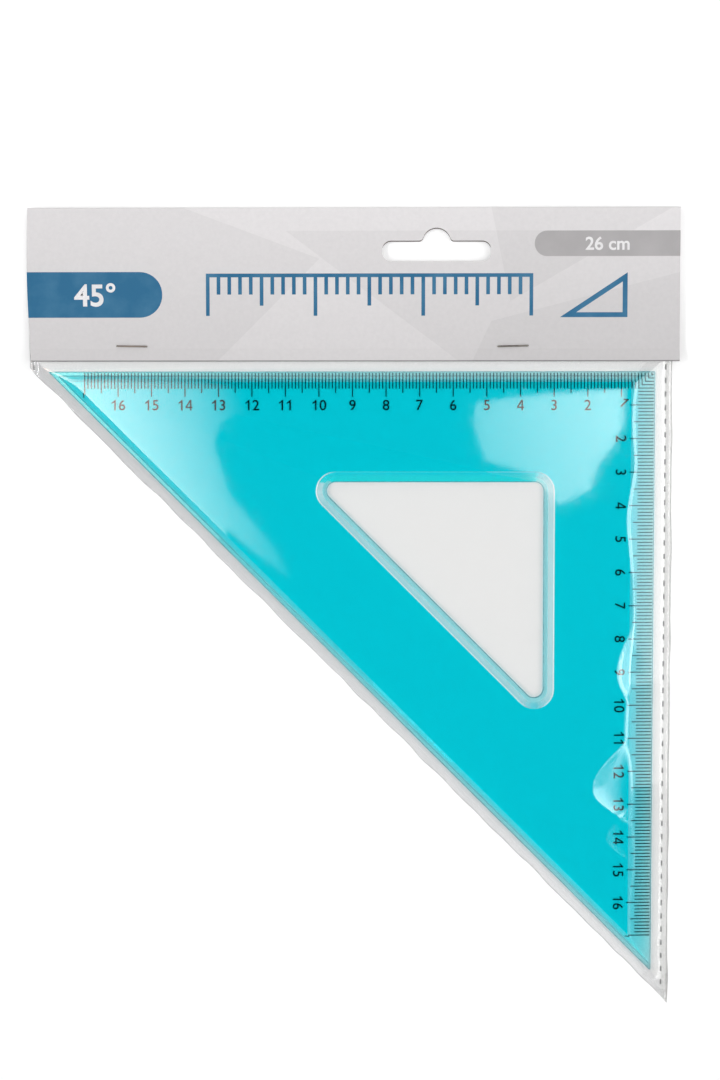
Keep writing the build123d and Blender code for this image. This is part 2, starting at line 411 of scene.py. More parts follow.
def tinted_plastic():
    """Clear plastic that takes its colour from its depth, so that its bevels are paler."""
    material = blank_material("tinted_plastic")
    tree = material.node_tree
    tint = two_tone(tree, attribute(tree, "face_tint"), (1, 1, 1, 1), FACE_TINT)
    body = {
        # Painted shade: the dark lines along the edges are tinted here
        "Base Color": two_tone(tree, attribute(tree, "painted_edge_shade"), tint, EDGE_PAINTED_SHADE),
        # Painted highlight: where the satin_and_painted_sheen attribute is set, the clear plastic turns
        # milky white
        "Transmission Weight": between(tree, attribute(tree, "satin_and_painted_sheen"), 1.0, 0.0, 0.0, 1.0),
        "IOR": PLASTIC_IOR,
        "Roughness": between(tree, place_noise(tree, scale=220.0, detail=4.0), 0.01, 0.03),
        "Normal": relief(tree, place_noise(tree, scale=60.0, detail=1.0), PLASTIC_RELIEF),
    }
    plastic = add(tree, "BsdfPrincipled", body)
    wall = between(tree, work_out(tree, "ABSOLUTE", looks_up(tree)), 1.0, 0.0, *WALL_TURN)
    window = add(tree, "BsdfTransparent", {"Color": two_tone(tree, wall, (1, 1, 1, 1), WALL_SHADE)})
    depth = add(tree, "VolumeAbsorption", {"Color": TEAL, "Density": TEAL_DENSITY})
    finish_shader(tree, lamps_through(tree, plastic, window), depth)
    return material


def film_colour(tree):
    """What the film lets through: less outside the weld and at the rim; less on the flap by the fold,
    partly its haze and partly painted shade; and less on some facets of the crumpled tip, painted shade.
    """
    place = object_place(tree)
    across = part_of(tree, place, "X")
    slant = reach_along(tree, place, (1, 1, 0))
    downward = between(tree, across, 0.0, 1.0, plate_low.x, corner.x)
    # Haze and painted shade on the flap
    flap_haze_and_shade = two_tone(tree, downward, FLAP_UPPER_HAZE_AND_SHADE, FLAP_LOWER_HAZE_AND_SHADE)
    flap = between(tree, slant, 1.0, 0.0, hypotenuse_line - FLAP_BLUR, hypotenuse_line)
    outside = between(tree, across, 0.0, 1.0, right_weld - WELD_BLUR, right_weld + WELD_BLUR)
    colour = two_tone(tree, outside, two_tone(tree, flap, FILM_CLEAR, flap_haze_and_shade), FILM_HAZE)
    rim = between(tree, across, 0.0, 1.0, film_high.x - RIM_WIDTH, film_high.x - RIM_WIDTH / 2)
    colour = two_tone(tree, rim, colour, FILM_RIM)
    # Painted shade on some facets of the crumpled tip
    tip = (film_high.x, film_low.y, weld_plane)
    to_tip = add(tree, "VectorMath", {0: place, 1: tip}, operation="DISTANCE").outputs["Value"]
    near = between(tree, to_tip, TIP_PAINTED_FACET_SHADE, 0.0, TIP_CORE, TIP_REACH)
    cell = add(tree, "TexVoronoi", {"Vector": place, "Scale": 1 / TIP_CREASE}).outputs["Color"]
    darker = work_out(tree, "MULTIPLY", part_of(tree, cell, "X"), near)
    return dimmed(tree, colour, work_out(tree, "SUBTRACT", 1.0, darker))


def clear_film(name, gloss_share):
    """Film that is a little grey where it is seen along its surface, as at the fold and the cut edge."""
    material = blank_material(name)
    tree = material.node_tree
    creases = relief(tree, place_noise(tree, scale=140.0, detail=1.0), FILM_RELIEF)
    rough = between(tree, place_noise(tree, scale=400.0, detail=3.0), 0.02, 0.06)
    facing = add(tree, "LayerWeight", {"Blend": 0.5, "Normal": creases}).outputs["Facing"]
    grazing = work_out(tree, "POWER", facing, GRAZING_POWER)
    share = between(tree, grazing, gloss_share, GRAZING_GLOSS, 0.0, 1.0)
    edgewise = work_out(tree, "POWER", facing, FILM_EDGE_POWER)
    colour = two_tone(tree, edgewise, film_colour(tree), FILM_EDGE)
    clear = add(tree, "BsdfTransparent", {"Color": colour})
    gloss = add(tree, "BsdfGlossy", {"Roughness": rough, "Normal": creases})
    film = add(tree, "MixShader", {0: share, 1: clear.outputs[0], 2: gloss.outputs[0]})
    finish_shader(tree, lamps_through(tree, film, add(tree, "BsdfTransparent")))
    return material


def ink():
    material = blank_material("ink")
    tree = material.node_tree
    colour = grey(tree, between(tree, place_noise(tree, scale=900.0, detail=3.0), *INK_TONE))
    finish_shader(tree, add(tree, "BsdfPrincipled", {"Base Color": colour, "Roughness": 0.55}))
    return material


def welded_film():
    material = blank_material("welded_film")
    tree = material.node_tree
    colour = grey(tree, between(tree, place_noise(tree, scale=700.0, detail=2.0), *WELD_TONE))
    rough = relief(tree, place_noise(tree, scale=3000.0, detail=2.0), WELD_RELIEF)
    sockets = {"Base Color": colour, "Roughness": 0.45, "Normal": rough}
    finish_shader(tree, add(tree, "BsdfPrincipled", sockets))
    return material


def finish_card(tree, colour, depth):
    """Satin surface with the fibres of the card in it."""
    fibre = relief(tree, place_noise(tree, scale=2500.0, detail=3.0), depth)
    sockets = {"Base Color": colour, "Roughness": 0.5, "Normal": fibre, "Specular IOR Level": 0.3}
    finish_shader(tree, add(tree, "BsdfPrincipled", sockets))


def printed(name, first, second):
    """Print on card: colour that lies unevenly on the fibres."""
    material = blank_material(name)
    tree = material.node_tree
    patches = between(tree, place_noise(tree, scale=130.0, detail=5.0), 0.0, 1.0, *PRINT_PATCHES)
    finish_card(tree, two_tone(tree, patches, first, second), PRINT_RELIEF)
    return material


def facet(tree, place, edges):
    """1 inside the lines that bound a tone of the card, 0 outside."""
    inside = 1.0
    for normal, offset in edges:
        side = work_out(tree, "GREATER_THAN", reach_along(tree, place, normal), offset)
        inside = work_out(tree, "MULTIPLY", inside, side)
    return inside


def card_stock():
    """Pale card with faint tones that meet on slanted lines."""
    material = blank_material("card_stock")
    tree = material.node_tree
    place = object_place(tree)
    patches = between(tree, place_noise(tree, scale=900.0, detail=4.0), 0.0, 1.0)
    colour = two_tone(tree, patches, CARD_WHITE, CARD_SHADE)
    depth = between(tree, looks_up(tree), 0.0, CARD_TONE, *FRONT_TURN)  # none on the back
    for edges in CARD_FACETS:
        tone = work_out(tree, "MULTIPLY", facet(tree, place, edges), depth)
        colour = dimmed(tree, colour, work_out(tree, "SUBTRACT", 1.0, tone))
    up = part_of(tree, place, "Y")
    colour = dimmed(tree, colour, between(tree, up, *CARD_FADE, card_low.y, card_high.y))
    # Painted shadow along the cut bottom edge
    shadow_band = [card_low.y + reach for reach in CARD_EDGE_SHADOW_REACH]
    colour = dimmed(tree, colour, between(tree, up, CARD_EDGE_PAINTED_SHADOW, 1.0, *shadow_band))
    # Painted shade on the slot's upper cut
    finish_card(tree, two_tone(tree, attribute(tree, "slot_painted_shade"), colour, SLOT_PAINTED_SHADE), CARD_RELIEF)
    return material


def staple_wire():
    material = blank_material("staple_wire")
    tree = material.node_tree
    streaks = place_noise(tree, scale=3000.0, detail=3.0, stretch=(0.05, 1, 1))
    sockets = {
        "Base Color": STEEL,
        "Metallic": 1.0,
        "Roughness": between(tree, streaks, 0.22, 0.42),
        "Normal": relief(tree, streaks, STEEL_RELIEF),
    }
    finish_shader(tree, add(tree, "BsdfPrincipled", sockets))
    return material


def floor_white():
    """White ground that keeps the shadows, and shows white by itself too; beyond the card's bottom edge
    it glows more, painted light that fades the card's shadow there.
    """
    material = blank_material("floor_white")
    tree = material.node_tree
    path = add(tree, "LightPath").outputs
    seen = work_out(tree, "MAXIMUM", path["Is Camera Ray"], path["Is Glossy Ray"])
    seen = work_out(tree, "MAXIMUM", seen, path["Is Transmission Ray"])
    up = part_of(tree, object_place(tree), "Y")
    # Painted light beyond the card's bottom edge
    level = between(tree, up, FLOOR_LIFT, FLOOR_PAINTED_LIGHT_ABOVE, card_low.y, card_low.y + FLOOR_TURN)
    matt = add(tree, "BsdfDiffuse", {"Color": FLOOR_WHITE})
    glow = add(tree, "Emission", {"Strength": work_out(tree, "MULTIPLY", seen, level)})
    finish_shader(tree, add(tree, "AddShader", {0: matt.outputs[0], 1: glow.outputs[0]}))
    return material


def new_object(mesh, name, material):
    """Makes a bmesh an object of the scene."""
    data = bpy.data.meshes.new(name)
    mesh.to_mesh(data)
    mesh.free()
    data.materials.append(material)
    made = bpy.data.objects.new(name, data)
    bpy.context.scene.collection.objects.link(made)
    return made


def piece_from(mesh, name, body, material):
    """Makes a bmesh a piece that rides on a body."""
    piece = new_object(mesh, name, material)
    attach(piece, body)
    return piece


def stage_piece(mesh, name, material):
    """Makes a bmesh a thing of the studio."""
    piece = new_object(mesh, name, material)
    return piece


def solid_copy(node):
    """A node's solid as a bmesh, merged and with its flat faces made whole."""
    mesh = bmesh.new()
    mesh.from_mesh(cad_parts[node].data)
    bmesh.ops.remove_doubles(mesh, verts=mesh.verts, dist=MERGE)
    bmesh.ops.dissolve_limit(mesh, angle_limit=SAME_FACE, verts=mesh.verts, edges=mesh.edges)
    return mesh


def mark_edges(mesh, angle, flat_area):
    """Smooth faces, but crisp at the edges sharper than this and round each larger flat face."""
    for face in mesh.faces:
        face.smooth = True
    for edge in mesh.edges:
        rounded = edge.calc_face_angle(pi) < angle
        edge.smooth = rounded and all(face.calc_area() < flat_area for face in edge.link_faces)


def round_edges(mesh, edges, offset, segments, clamp_overlap=False):
    """Bevels edges, and tells the faces that this makes."""
    made = bmesh.ops.bevel(
        mesh,
        geom=edges,
        offset=offset,
        segments=segments,
        profile=0.5,
        affect="EDGES",
        material=-1,
        clamp_overlap=clamp_overlap,
    )
    return made["faces"]


def by_outer_edge(place):
    """Whether a place is on the ledges and slopes along the top leg, the hypotenuse or the right leg."""
    from_hypotenuse = (place.x + place.y - hypotenuse_line) / sqrt(2)
    return min(corner.x - place.x, corner.y - place.y, from_hypotenuse) < OUTER_REACH


def flat_to_slope(edge):
    """Whether an edge lies between a flat face and a slope."""
    low, high = sorted(face.normal.z for face in edge.link_faces)
    return SLOPE_LOW < low < SLOPE_HIGH and high > FLAT


def outline_edges(mesh):
    """Edges where a wall meets a ledge or the bevel, and where an outer ledge meets its slope."""
    chosen = []
    for edge in mesh.edges:
        low, high = sorted(face.normal.z for face in edge.link_faces)
        place = edge.verts[0].co
        brink = abs(low) < UPRIGHT and high > UPWARD
        foot = flat_to_slope(edge) and place.z < weld_plane and by_outer_edge(place)
        if brink or foot:
            chosen.append(edge)
    return chosen


def crest_edges(mesh):
    """Edges where the slope round the opening meets the front face."""
    chosen = []
    for edge in mesh.edges:
        place = edge.verts[0].co
        if flat_to_slope(edge) and place.z > weld_plane and not by_outer_edge(place):
            chosen.append(edge)
    return chosen


def sideways(face):
    """How much of a slope's lean is to the left or right."""
    return abs(face.normal.x) / face.normal.xy.length


def tone_plate(mesh, shade, tint, satin_and_painted_sheen):
    """Tints the front face, and gives the opening's rim its satin and painted sheen: a painted highlight
    on the slopes that lean sideways.
    """
    slopes = {face for face in mesh.faces if TILTED < face.normal.z < UPWARD and not face[shade]}
    sides = [face for face in slopes if face.calc_area() > RIM_SIDE]
    rim = [face for face in sides if not by_outer_edge(face.verts[0].co)]
    top_rim = min(vert.co.y for face in rim if face.normal.y < -SIDEWAYS for vert in face.verts)
    right_rim = min(vert.co.x for face in rim if face.normal.x < -SIDEWAYS for vert in face.verts)
    for face in mesh.faces:
        if face.loops[0][satin_and_painted_sheen]:
            continue
        front = face.normal.z > UPWARD and face.calc_center_median().z > plate_high.z - FRONT_DEPTH
        ledge = face.normal.z > FLAT and not front
        outer = by_outer_edge(face.verts[0].co)
        for loop in face.loops:
            at = loop.vert.co
            if front:
                loop[tint] = 1.0
            elif outer and face in slopes and face.normal.x < -TILTED:
                loop[tint] = HYPOTENUSE_TINT
            # Painted shade at the top of the opening
            elif not outer and at.y > top_rim - TOP_RIM_BELOW and at.x < right_rim - TOP_RIM_SHORT:
                loop[tint] = TOP_RIM_PAINTED_SHADE
            # Painted highlight on the rim's slopes, by how far they lean sideways
            if not outer and face in slopes:
                loop[satin_and_painted_sheen] = SLOPE_PAINTED_SHEEN * sideways(face)
            elif not outer and ledge:
                loop[satin_and_painted_sheen] = LEDGE_SATIN_AND_SHEEN


def set_square(material):
    mesh = solid_copy("set_square")
    shade = mesh.faces.layers.float.new("painted_edge_shade")
    tint = mesh.loops.layers.float.new("face_tint")
    satin_and_painted_sheen = mesh.loops.layers.float.new("satin_and_painted_sheen")
    # Rounds the edges that carry the painted shade of dark lines
    lines = round_edges(mesh, outline_edges(mesh), LINE_ROUND, 2)
    ledge = min(face.calc_center_median().z for face in mesh.faces if face.normal.z > FLAT)
    for face in lines:
        face[shade] = 1.0 if face.calc_center_median().z < ledge else INNER_PAINTED_SHADE
    # Painted highlight along the crest of the opening's rim
    for face in round_edges(mesh, crest_edges(mesh), CREST_ROUND, 1):
        for loop in face.loops:
            loop[satin_and_painted_sheen] = CREST_PAINTED_HIGHLIGHT * sideways(face)
    plain = [edge for edge in mesh.edges if not any(face[shade] for face in edge.link_faces)]
    edges = [edge for edge in plain if edge.calc_face_angle(0.0) > ROUNDED_FROM]
    round_edges(mesh, edges, EDGE_ROUND, 2, clamp_overlap=True)
    tone_plate(mesh, shade, tint, satin_and_painted_sheen)
    mark_edges(mesh, *PLATE_CRISP)
    piece = piece_from(mesh, "moulded_plate", "set_square", material)
    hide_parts("set_square")


def smooth_least(first, second, blend):
    """The lesser of two heights, rounded over where they meet."""
    near = max(blend - abs(first - second), 0.0) / blend
    return min(first, second) - near * near * blend / 4


def waves(x, y, length, seed):
    return noise.noise(Vector((x / length, y / length, seed)))


def fold_reach(x, y):
    """How far inside the fold a point lies."""
    return (x + y - fold_line) / sqrt(2)


def round_over(reach):
    """Rise of the film as it rounds the fold."""
    left = max(1 - reach / FOLD_ROUND, 0.0)
    return FOLD_ROUND * sqrt(max(1 - left * left, 0.0))


def pocket_rise(x, y, level, sides, wander=0.0):
    """Height of the film's tent over the weld plane."""
    reaches = {
        "right": right_weld - x,
        "fold": fold_reach(x, y),
        "top": corner.y + CLAMP_ABOVE_PLATE - y,
        "left": x - left_weld,
    }
    rise = level
    for side, reach in reaches.items():
        run, blend = sides[side]
        if side == "right":
            run += wander
        slope = POCKET_RISE * reach / run
        if side == "fold":
            slope += round_over(reach)
        rise = smooth_least(rise, slope, blend)
    return max(rise, 0.0)


def lobe_rise(inward, down):
    """Rise of the loose lobes, which slope down to the right leg from a crest."""
    rise = 0.0
    for below, above_length, below_length, inset, height in LOBES:
        way = (down - below) / (above_length if down < below else below_length)
        bell = max(1 - way * way, 0.0) ** LOBE_TAPER
        width = (inset - LOBE_FOOT) * bell
        beyond = inward - LOBE_FOOT
        if 0 < beyond < width:
            rise += height * bell * (beyond / width) ** 2
        elif width < beyond < width + LOBE_LEE:
            rise += height * bell * (1 - (beyond - width) / LOBE_LEE)
    return rise


def front_level(x, y):
    """Height of the front film where it lies on the plate, with its waves and lobes."""
    level = POCKET_RISE + FRONT_CLEARANCE
    level += WAVE_RISE * (1 + waves(x, y, WAVE_LENGTH, seed=3.7)) / 2
    level += RIPPLE_RISE * (1 + waves(x, y, RIPPLE_LENGTH, seed=9.1)) / 2
    return level + lobe_rise(corner.x - x, corner.y - y)


def front_height(x, y):
    wander = CREASE_WANDER * waves(0.0, y, CREASE_WAVE, seed=5.3)
    return pocket_rise(x, y, front_level(x, y), FRONT_SIDES, wander)


def back_height(x, y):
    return -pocket_rise(x, y, POCKET_RISE, BACK_SIDES)


def loose_rise(x, y):
    """Waves that both halves of the sleeve share, outside the weld and at the crumpled bottom tip."""
    outside = max((x - right_weld) / (film_high.x - right_weld), 0.0)
    rise = FLANGE_WAVE * outside * waves(x, y, EDGE_WAVE, seed=2.2)
    if film_high.x - x < CUT_EDGE / 2:
        rise -= CUT_DROP
    to_tip = sqrt((film_high.x - x) ** 2 + (y - film_low.y) ** 2)
    if to_tip < TIP_REACH:
        rise += TIP_CRUMPLE * (1 - to_tip / TIP_REACH) * abs(waves(x, y, TIP_CREASE, seed=6.6))
    return rise


def edge_waver(x, y):
    """How far the free edges of the sleeve stray from straight lines."""
    by_fold = max(1 - fold_reach(x, y) / EDGE_DEPTH, 0.0) * EDGE_WAVER
    by_side = max(1 - (film_high.x - x) / EDGE_DEPTH, 0.0) * EDGE_WAVER
    fold_stray = by_fold * waves(x - y, 0.0, EDGE_WAVE, seed=4.4) / sqrt(2)
    side_stray = by_side * waves(0.0, y, EDGE_WAVE, seed=8.8)
    return Vector((fold_stray + side_stray, fold_stray, 0.0))


def cut_mesh(mesh, place, normal):
    everything = mesh.verts[:] + mesh.edges[:] + mesh.faces[:]
    bmesh.ops.bisect_plane(mesh, geom=everything, dist=CUT_SNAP, plane_co=place, plane_no=normal)


def film_grid(cell):
    """Flat sheet of small triangles in the sleeve's outline, cut finer along the fold."""
    mesh = bmesh.new()
    width = film_high.x - film_low.x
    height = film_high.y - film_low.y
    middle = ((film_low.x + film_high.x) / 2, (film_low.y + film_high.y) / 2, 0.0)
    place = Matrix.Translation(middle) @ Matrix.Diagonal((width, height, 1.0, 1.0))
    bmesh.ops.create_grid(
        mesh, x_segments=round(width / cell), y_segments=round(height / cell), size=0.5, matrix=place
    )
    fold_point = (film_high.x, film_low.y, 0.0)
    bmesh.ops.bisect_plane(
        mesh,
        geom=mesh.verts[:] + mesh.edges[:] + mesh.faces[:],
        dist=MERGE,
        plane_co=fold_point,
        plane_no=(-1, -1, 0),
        clear_outer=True,
    )
    for cut in FOLD_CUTS:
        cut_mesh(mesh, Vector(fold_point) + Vector((cut, cut, 0)) / sqrt(2), (1, 1, 0))
    cut_mesh(mesh, (right_weld, 0, 0), (1, 0, 0))
    cut_mesh(mesh, (film_high.x - CUT_EDGE, 0, 0), (1, 0, 0))
    bmesh.ops.triangulate(mesh, faces=mesh.faces[:], quad_method="ALTERNATE")
    return mesh


def film_piece(name, node, cell, height, offset, material):
    mesh = film_grid(cell)
    for edge in mesh.edges:
        edge.smooth = any(abs(vert.co.x - right_weld) > ON_WELD for vert in edge.verts)
    for vert in mesh.verts:
        x, y, _ = vert.co
        rise = height(x, y)
        free = min(1 + rise / POCKET_RISE, 1.0)  # less where the back lies under the plate
        vert.co.z = weld_plane + rise + free * loose_rise(x, y)
        vert.co += edge_waver(x, y)
    for face in mesh.faces:
        face.smooth = True
    piece = piece_from(mesh, name, "pack", material)
    wall = piece.modifiers.new("thickness", "SOLIDIFY")
    wall.thickness = FILM_THICKNESS
    wall.offset = offset
    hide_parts(node)
    return piece


def figures(words, height, thickness, bold):
    """One line of figures as a thin mesh, centred on the origin."""
    curve = bpy.data.curves.new("figures", "FONT")
    curve.body = words
    curve.extrude = 0.5
    curve.offset = bold
    holder = bpy.data.objects.new("figures", curve)
    bpy.context.scene.collection.objects.link(holder)
    depsgraph = bpy.context.evaluated_depsgraph_get()
    data = bpy.data.meshes.new_from_object(holder.evaluated_get(depsgraph))
    bpy.data.objects.remove(holder)
    xs = [vert.co.x for vert in data.vertices]
    ys = [vert.co.y for vert in data.vertices]
    middle = Vector(((min(xs) + max(xs)) / 2, (min(ys) + max(ys)) / 2, 0))
    grow = height / (max(ys) - min(ys))
    data.transform(Matrix.Diagonal((grow, grow, thickness, 1.0)) @ Matrix.Translation(-middle))
    return data


def put(mesh, data, place):
    """Adds a mesh to a bmesh at a place."""
    data.transform(place)
    mesh.from_mesh(data)
    bpy.data.meshes.remove(data)


def thicken(mesh, thickness):
    """Gives flat faces a thickness, upwards."""
    raised = bmesh.ops.extrude_face_region(mesh, geom=mesh.faces[:])
    tops = [v for v in raised["geom"] if isinstance(v, bmesh.types.BMVert)]
    bmesh.ops.translate(mesh, vec=(0, 0, thickness), verts=tops)
    bmesh.ops.recalc_face_normals(mesh, faces=mesh.faces)


def drawn_figure(figure, thickness):
    """A figure drawn from its outline and that of its counter, centred on the origin."""
    mesh = bmesh.new()
    for outline in DRAWN_FIGURES[figure]:
        verts = [mesh.verts.new((x * FIGURE_HEIGHT, y * FIGURE_HEIGHT, 0)) for x, y in outline]
        for first, second in zip(verts, verts[1:] + verts[:1]):
            mesh.edges.new((first, second))
    bmesh.ops.triangle_fill(
        mesh, use_beauty=True, use_dissolve=False, edges=mesh.edges[:], normal=(0, 0, 1)
    )
    thicken(mesh, thickness)
    bmesh.ops.translate(mesh, vec=(0, 0, -thickness / 2), verts=mesh.verts)
    data = bpy.data.meshes.new("figures")
    mesh.to_mesh(data)
    mesh.free()
    return data


def put_number(mesh, count, place, thickness):
    """Adds a number of the scales, figure by figure."""
    word = str(count)
    for index, figure in enumerate(word):
        shift = (index - (len(word) - 1) / 2) * FIGURE_ADVANCE
        if figure in DRAWN_FIGURES:
            made = drawn_figure(figure, thickness)
        else:
            made = figures(figure, FIGURE_HEIGHT, thickness, FIGURE_BOLD)
        put(mesh, made, place @ Matrix.Translation((shift, 0, 0)))


def scale_figures(material):
    level = (ticks_low.z + ticks_high.z) / 2
    thickness = ticks_high.z - ticks_low.z
    top = bmesh.new()
    side = bmesh.new()
    for count in range(2, LAST_FIGURE + 1):
        at = Vector((corner.x - count * CENTIMETRE, corner.y - FIGURE_INSET, level))
        put_number(top, count, Matrix.Translation(at), thickness)
        at = Vector((corner.x - FIGURE_INSET, corner.y - count * CENTIMETRE, level))
        put_number(side, count, Matrix.Translation(at) @ Matrix.Rotation(-pi / 2, 4, "Z"), thickness)
    at = Vector((corner.x - SHARED_FIGURE, corner.y - SHARED_FIGURE, level))
    put_number(top, 1, Matrix.Translation(at) @ Matrix.Rotation(-pi / 4, 4, "Z"), thickness)
    for mesh, name in ((top, "top_scale_figures"), (side, "side_scale_figures")):
        bmesh.ops.remove_doubles(mesh, verts=mesh.verts, dist=MERGE)
        piece_from(mesh, name, "set_square", material)


def card_bend(x, y):
    """How far the card bows out of its plane, less towards its bottom edge."""
    free = min(max((y - card_low.y) / CARD_HELD, 0.0), 1.0)
    return CARD_WAVE * free * waves(x, y, CARD_WAVE_LENGTH, seed=1.3)


def card_stray(x, y):
    """How far the card's left side strays from a line: out below the fold, and in at the bottom."""
    by_left = max(1 - (x - card_low.x) / STRAY_DEPTH, 0.0)
    up = (y - card_low.y) / (card_high.y - card_low.y)
    return by_left * (STRAY_IN * (1 - up) ** 2 - STRAY_OUT * sin(pi * up))


def cut_and_bend(mesh):
    """Cuts a flat piece into short strips both ways, and bows it with the card."""
    for axis, low, high in ((0, card_low.x, card_high.x), (1, card_low.y, card_high.y)):
        normal = [0.0, 0.0, 0.0]
        normal[axis] = 1.0
        for step in range(1, int((high - low) / CARD_CUT)):
            at = [0.0, 0.0, 0.0]
            at[axis] = low + step * CARD_CUT
            cut_mesh(mesh, at, normal)
    for vert in mesh.verts:
        x, y, _ = vert.co
        vert.co += Vector((card_stray(x, y), 0.0, card_bend(x, y)))


def lean_slot(mesh):
    """Leans the upper cut of the slot in the front panel, so that it shows, and marks it to be painted
    dark, as the shade under that edge.
    """
    slot_painted_shade = mesh.faces.layers.float.new("slot_painted_shade")
    half = (card_low.y + card_high.y) / 2
    leaning = set()
    for face in mesh.faces:
        middle = face.calc_center_median()
        hangs = face.normal.y < -TILTED and abs(face.normal.z) < UPRIGHT
        if hangs and middle.y > half and middle.z > weld_plane:
            face[slot_painted_shade] = 1.0
            leaning.update(vert for vert in face.verts if vert.co.z < middle.z)
    for vert in leaning:
        vert.co.y -= SLOT_BURR


def header_card(material):
    mesh = solid_copy("header_card")
    lean_slot(mesh)
    cut_and_bend(mesh)
    mark_edges(mesh, *CARD_CRISP)
    piece = piece_from(mesh, "folded_card", "pack", material)
    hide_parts("header_card")


def bar(mesh, left, bottom, right, top):
    """Flat bar, in card measures. Gives its corners."""
    middle = Matrix.Translation(((left + right) / 2, (bottom + top) / 2, 0))
    size = Matrix.Diagonal((right - left, top - bottom, 1, 1))
    made = bmesh.ops.create_grid(mesh, x_segments=1, y_segments=1, size=0.5, matrix=middle @ size)
    return made["verts"]


def tab(mesh, bounds, round_side):
    """Flat bar that is round at its left (-1) or right (1) end."""
    left, bottom, right, top = bounds
    corners = bar(mesh, *bounds)
    ends = [vert for vert in corners if (vert.co.x - (left + right) / 2) * round_side > 0]
    bmesh.ops.bevel(
        mesh,
        geom=ends,
        offset=TAB_ROUND * (top - bottom),
        segments=TAB_SEGMENTS,
        profile=0.5,
        affect="VERTICES",
        material=-1,
        clamp_overlap=True,
    )


def rule_print(mesh):
    """A rule's edge with its ticks hanging down."""
    foot = RULE_TOP - RULE_STROKE
    length = (RULE_TICKS - 1) * RULE_PITCH + RULE_STROKE
    bar(mesh, RULE_START, foot, RULE_START + length, RULE_TOP)
    for count in range(RULE_TICKS):
        reach = RULE_REACH.get(count % 10, RULE_SHORT)
        at = RULE_START + count * RULE_PITCH
        bar(mesh, at, RULE_TOP - reach, at + RULE_STROKE, foot)


def triangle_print(mesh):
    """A small right triangle drawn in outline."""
    x, y = SIGN_CORNER
    points = ((x, y), (x, y + SIGN_RISE), (x - SIGN_LEG, y))
    face = mesh.faces.new([mesh.verts.new((u, v, 0)) for u, v in points])
    face.normal_update()
    bmesh.ops.inset_region(
        mesh, faces=[face], thickness=SIGN_STROKE, use_boundary=True, use_even_offset=True
    )
    bmesh.ops.delete(mesh, geom=[face], context="FACES")


def lay_on_card(mesh, name, material):
    """Makes a print a piece, on the front of the card."""
    at = (card_low.x, card_low.y, weld_plane + CARD_FRONT)
    bmesh.ops.translate(mesh, vec=at, verts=mesh.verts)
    bmesh.ops.recalc_face_normals(mesh, faces=mesh.faces)
    cut_and_bend(mesh)
    piece_from(mesh, name, "pack", material)


def print_piece(mesh, name, material):
    """Gives a flat print its thickness, and lays it on the card."""
    bmesh.ops.recalc_face_normals(mesh, faces=mesh.faces)
    for face in mesh.faces:
        if face.normal.z < 0:
            face.normal_flip()
    thicken(mesh, PRINT_THICKNESS)
    lay_on_card(mesh, name, material)


def card_print():
    blue = printed("print_blue", PRINT_BLUE, PRINT_BLUE_WORN)
    pale = printed("print_grey", PRINT_GREY, PRINT_GREY_WORN)
    white = printed("print_white", PRINT_WHITE, CARD_WHITE)
    mesh = bmesh.new()
    tab(mesh, ANGLE_TAB, 1)
    rule_print(mesh)
    triangle_print(mesh)
    print_piece(mesh, "card_print_blue", blue)
    mesh = bmesh.new()
    tab(mesh, SIZE_TAB, -1)
    print_piece(mesh, "card_print_grey", pale)
    mesh = bmesh.new()
    for words, height, (left, bottom, right, top) in (
        ("45°", ANGLE_FIGURE, ANGLE_TAB),
        ("26 cm", SIZE_FIGURE, SIZE_TAB),
    ):
        on_tab = 1.5 * PRINT_THICKNESS  # the middle of a second layer
        middle = Vector(((left + right) / 2, (bottom + top) / 2, on_tab))
        made = figures(words, height, PRINT_THICKNESS, CARD_BOLD)
        put(mesh, made, Matrix.Translation(middle))
    bmesh.ops.remove_doubles(mesh, verts=mesh.verts, dist=MERGE)
    lay_on_card(mesh, "card_print_white", white)


def camera():
    lens = bpy.data.cameras.new("camera")
    lens.lens = CAMERA_LENS
    lens.sensor_width = SENSOR
    lens.clip_start = NEAREST
    view = bpy.data.objects.new("camera", lens)
    view.location = CAMERA_PLACE
    view.rotation_euler = CAMERA_TURN
    bpy.context.scene.collection.objects.link(view)
    bpy.context.scene.camera = view


def softbox(name, place, aim, size, brightness):
    """Rectangular lamp, whose first side lies along X."""
    lamp = bpy.data.lights.new(name, "AREA")
    lamp.shape = "RECTANGLE"
    lamp.size, lamp.size_y = size
    lamp.energy = brightness * pi * lamp.size * lamp.size_y
    box = bpy.data.objects.new(name, lamp)
    back = (Vector(place) - Vector(aim)).normalized()
    side = Vector((0, 1, 0)).cross(back).normalized()
    turn = Matrix((side, back.cross(side), back)).transposed().to_4x4()
    box.matrix_world = Matrix.Translation(place) @ turn
    bpy.context.scene.collection.objects.link(box)


def over_film(inward, down):
    """The place on the panels' level that flat film shows at a point, in from the right and down."""
    spot = Vector((corner.x - inward, corner.y - down, film_high.z))
    away = (spot - CAMERA_PLACE) * (PANEL_HEIGHT - spot.z) / (CAMERA_PLACE.z - spot.z)
    return Vector((spot.x + away.x, spot.y + away.y, PANEL_HEIGHT))


def reflected_panel(mesh, name, material):
    """Glowing panel that only reflections see."""
    panel = stage_piece(mesh, name, material)
    panel.visible_camera = False
    panel.visible_shadow = False
    panel.visible_diffuse = False


def lamp_panel(name, corners, glow):
    """Glowing panel that fades from one side to the other."""
    mesh = bmesh.new()
    mesh.faces.new([mesh.verts.new(over_film(inward * MM, down * MM)) for inward, down in corners])
    (first, low), (second, high) = glow
    material = blank_material(name)
    tree = material.node_tree
    slant = (1, GLOW_SLANT, 0)
    across = reach_along(tree, object_place(tree), slant)
    ends = [over_film(inward * MM, 0.0).dot(slant) for inward in (first, second)]
    strength = between(tree, across, low, high, *ends)
    finish_shader(tree, add(tree, "Emission", {"Color": PANEL_WARMTH, "Strength": strength}))
    reflected_panel(mesh, name, material)


